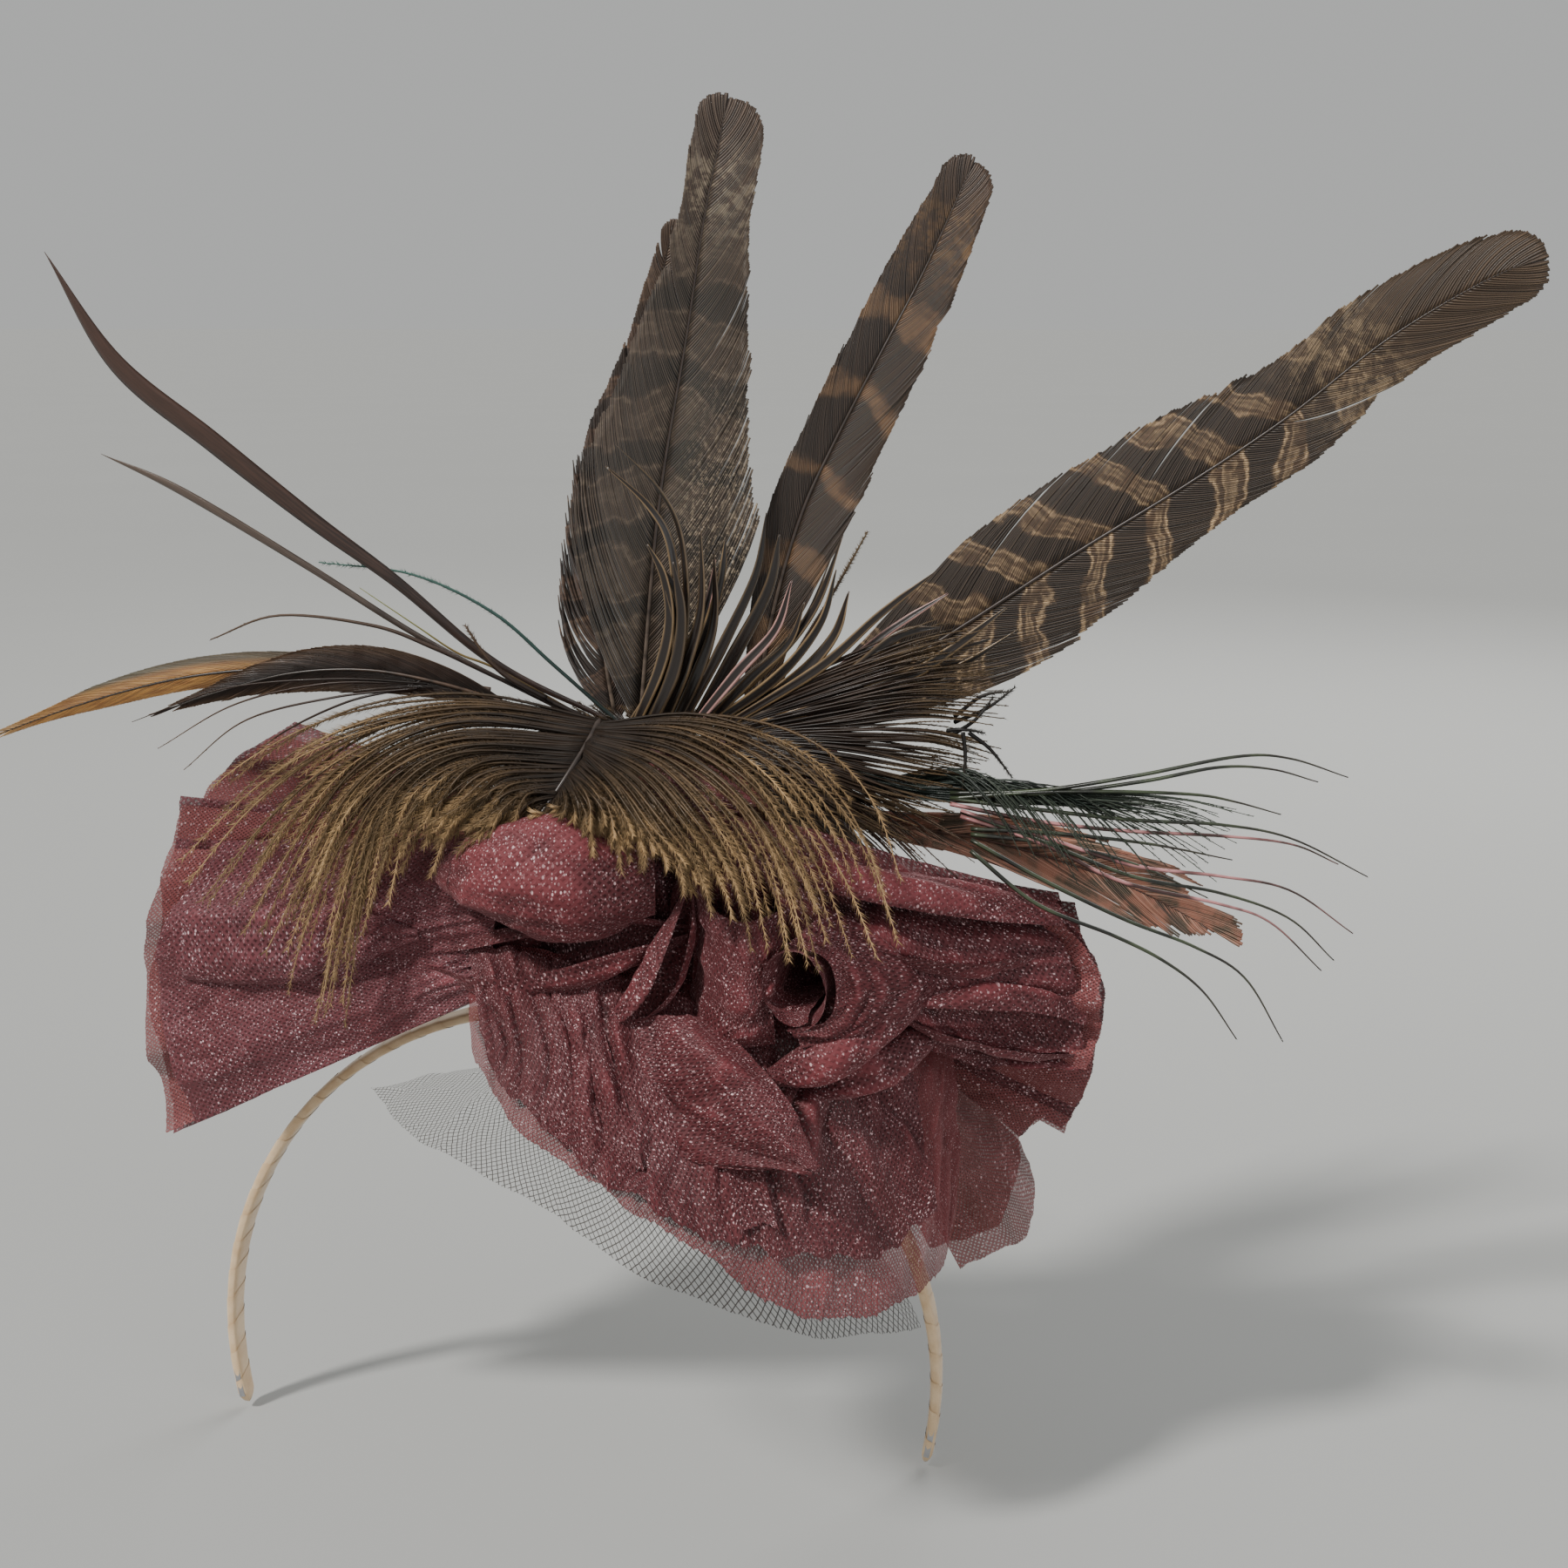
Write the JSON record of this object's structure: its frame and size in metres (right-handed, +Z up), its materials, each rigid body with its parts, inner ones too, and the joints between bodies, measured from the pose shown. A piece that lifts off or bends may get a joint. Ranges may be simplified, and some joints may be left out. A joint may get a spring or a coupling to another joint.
{
  "type": "fascinator headpiece",
  "caption": "Fascinator on a ribbon-wrapped headband, with a gathered tulle pouf, side fans, a veil and a sprung spray of barred feathers.",
  "frame": {"origin": "centre of the headband's arch, where the axis through the wearer's ears crosses the band's middle plane", "axes": "+Z up through the crown of the band, -Y towards the wearer's front, +X towards the side of the long barred feather; the band lies in the XZ plane"},
  "size_m": [0.296, 0.0834, 0.2731],
  "materials": {
    "spring_steel": "satin spring steel strip",
    "satin_ribbon": "cream gold satin",
    "felt": "pressed wool felt",
    "thread": "polyester thread",
    "burgundy_tulle": "sparkly soft tulle",
    "brown_net": "fine soft veil net",
    "barred_feather": "barred pheasant tail feather",
    "spike_feather": "stripped glossy feather",
    "golden_feather": "dyed golden feather",
    "green_herl": "dark iridescent herl",
    "brown_herl": "brown herl",
    "almond_plume": "soft drooping plume",
    "black_herl": "black herl strands",
    "copper_feather": "copper-tipped feather"
  },
  "bodies": {
    "root": {"base_stitches": "thread", "curled_herls": "brown_herl", "feather_pad": "felt", "felt_base": "felt", "fuzzy_stick": "brown_herl", "headband_core_crown": "spring_steel", "plume_left": "almond_plume", "plume_right": "almond_plume", "plume_shaft": "almond_plume", "ribbon_wrap_crown": "satin_ribbon", "swept_herls": "brown_herl", "tulle_core": "burgundy_tulle", "tulle_curl_tube": "burgundy_tulle", "tulle_dog_ear": "burgundy_tulle", "tulle_fan_left_back": "burgundy_tulle", "tulle_fan_left_front": "burgundy_tulle", "tulle_fan_left_middle": "burgundy_tulle", "tulle_fan_right_back": "burgundy_tulle", "tulle_fan_right_front": "burgundy_tulle", "tulle_fan_right_middle": "burgundy_tulle", "tulle_fold_back": "burgundy_tulle", "tulle_lobe_right": "burgundy_tulle", "tulle_roll_left": "burgundy_tulle", "tulle_shell_fold": "burgundy_tulle", "tulle_skirt_front": "burgundy_tulle", "tulle_twist_band": "burgundy_tulle", "tulle_twist_right": "burgundy_tulle", "veil_net": "brown_net"},
    "arm_right": {"headband_core_right": "spring_steel", "ribbon_wrap_right": "satin_ribbon"},
    "arm_left": {"headband_core_left": "spring_steel", "ribbon_wrap_left": "satin_ribbon"},
    "tall_feathers": {"tall_feather_front": "barred_feather", "tall_feather_rear": "barred_feather"},
    "middle_feather": {"middle_feather": "barred_feather"},
    "right_feather": {"right_feather": "barred_feather"},
    "left_spray": {"long_spike": "spike_feather", "short_spike": "spike_feather", "green_herl": "green_herl", "brown_herl": "brown_herl"},
    "left_feathers": {"golden_feather": "golden_feather", "dark_feather_left": "spike_feather"},
    "right_spray": {"dark_cluster": "black_herl", "arching_strands": "black_herl", "copper_feather": "copper_feather"}
  },
  "joints": [
    {"name": "arm_right_flex", "type": "hinge", "parent": "root", "child": "arm_right", "pos_m": [0.06488, 0, 0.04015], "axis": [0, -1, 0], "range_deg": [0, 12], "stiffness_Nm_per_rad": 0.4},
    {"name": "arm_left_flex", "type": "hinge", "parent": "root", "child": "arm_left", "pos_m": [-0.06488, 0, 0.04015], "axis": [0, 1, 0], "range_deg": [0, 12], "stiffness_Nm_per_rad": 0.4},
    {"name": "tall_feathers_nod", "type": "hinge", "parent": "root", "child": "tall_feathers", "pos_m": [0.016, -0.006, 0.138], "axis": [1, 0, 0], "range_deg": [-8, 8], "stiffness_Nm_per_rad": 0.06},
    {"name": "middle_feather_nod", "type": "hinge", "parent": "root", "child": "middle_feather", "pos_m": [0.039, 0, 0.138], "axis": [0.9375, 0, -0.348], "range_deg": [-8, 8], "stiffness_Nm_per_rad": 0.04},
    {"name": "right_feather_nod", "type": "hinge", "parent": "root", "child": "right_feather", "pos_m": [0.051, -0.006, 0.1385], "axis": [0.548, 0, -0.8365], "range_deg": [-8, 8], "stiffness_Nm_per_rad": 0.05},
    {"name": "left_spray_nod", "type": "hinge", "parent": "root", "child": "left_spray", "pos_m": [0.006, -0.013, 0.142], "axis": [0.565, 0, 0.8251], "range_deg": [-6, 6], "stiffness_Nm_per_rad": 0.03},
    {"name": "left_feathers_nod", "type": "hinge", "parent": "root", "child": "left_feathers", "pos_m": [-0.006, -0.025, 0.145], "axis": [-0.1, 0, 0.995], "range_deg": [-4, 4], "stiffness_Nm_per_rad": 0.03},
    {"name": "right_spray_nod", "type": "hinge", "parent": "root", "child": "right_spray", "pos_m": [0.066, -0.022, 0.127], "axis": [-0.1, 0, -0.995], "range_deg": [-5, 5], "stiffness_Nm_per_rad": 0.03}
  ]
}
